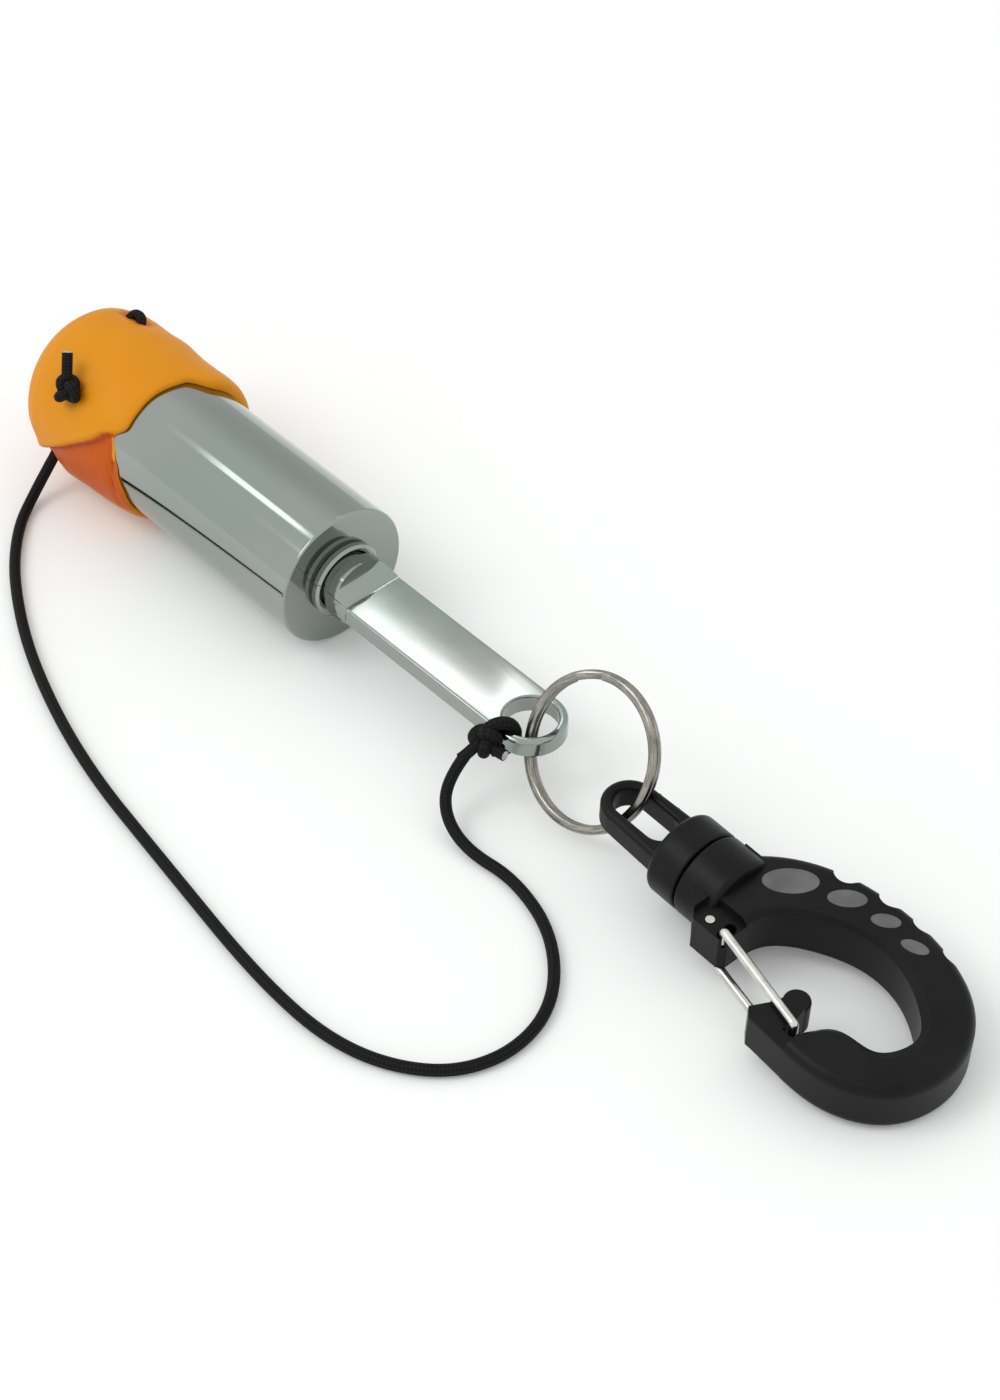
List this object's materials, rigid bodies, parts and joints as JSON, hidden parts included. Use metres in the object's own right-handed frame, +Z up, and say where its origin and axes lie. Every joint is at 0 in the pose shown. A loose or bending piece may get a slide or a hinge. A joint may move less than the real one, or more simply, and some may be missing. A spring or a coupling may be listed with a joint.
{
  "type": "rescue tube",
  "caption": "Small chromed storage tube with a rubber end cap on a cord tether, a flat eye handle, a split ring and a plastic swivel snap hook with a wire gate.",
  "frame": {"origin": "centre of the footprint of tube, cap, handle, ring and hook as laid out in line, on the surface they lie on", "axes": "+X along the object from the capped end of the tube to the bend of the hook, +Z up from the surface, +Y to the hook's spine"},
  "size_m": [0.2174, 0.0794, 0.0326],
  "materials": {
    "chrome": "polished",
    "cap_rubber": "satin",
    "cord": "braided",
    "ring_steel": "bright",
    "hook_plastic": "satin",
    "grip_rubber": "matte",
    "wire_steel": "bright"
  },
  "bodies": {
    "tube": {"tube_shell": "chrome", "face_washer": "chrome", "handle_bar": "chrome", "eye_knot": "cord"},
    "cap": {"end_cap": "cap_rubber", "cap_cord": "cord", "cap_knot": "cord", "tether_cord": "cord"},
    "ring": {"split_ring": "ring_steel"},
    "bail": {"swivel_bail": "hook_plastic"},
    "hook": {"hook_body": "hook_plastic", "grip_pad_1": "grip_rubber", "grip_pad_2": "grip_rubber", "grip_pad_3": "grip_rubber", "grip_pad_4": "grip_rubber"},
    "gate": {"gate_wire": "wire_steel"}
  },
  "joints": [
    {"name": "cap_pull", "type": "slide", "parent": "tube", "child": "cap", "axis": [-0.9993, 0, 0.0372], "range_m": [0, 0.03]},
    {"name": "ring_swing", "type": "hinge", "parent": "tube", "child": "ring", "pos_m": [0.01919, 0.00167, 0.0111], "axis": [0, 1, 0], "range_deg": [-30, 15]},
    {"name": "bail_swing", "type": "hinge", "parent": "ring", "child": "bail", "pos_m": [0.03907, 0.00032, 0.01034], "axis": [0.0832, 0, 0.9965], "range_deg": [-20, 20]},
    {"name": "hook_swivel", "type": "hinge", "parent": "bail", "child": "hook", "pos_m": [0.03907, 0.00032, 0.01034], "axis": [0.9965, 0, -0.0832], "continuous": true},
    {"name": "gate_open", "type": "hinge", "parent": "hook", "child": "gate", "pos_m": [0.06458, -0.00788, 0.00821], "axis": [0.0832, 0, 0.9965], "range_deg": [0, 28], "stiffness_Nm_per_rad": 0.02, "springref_deg": -20.05}
  ]
}
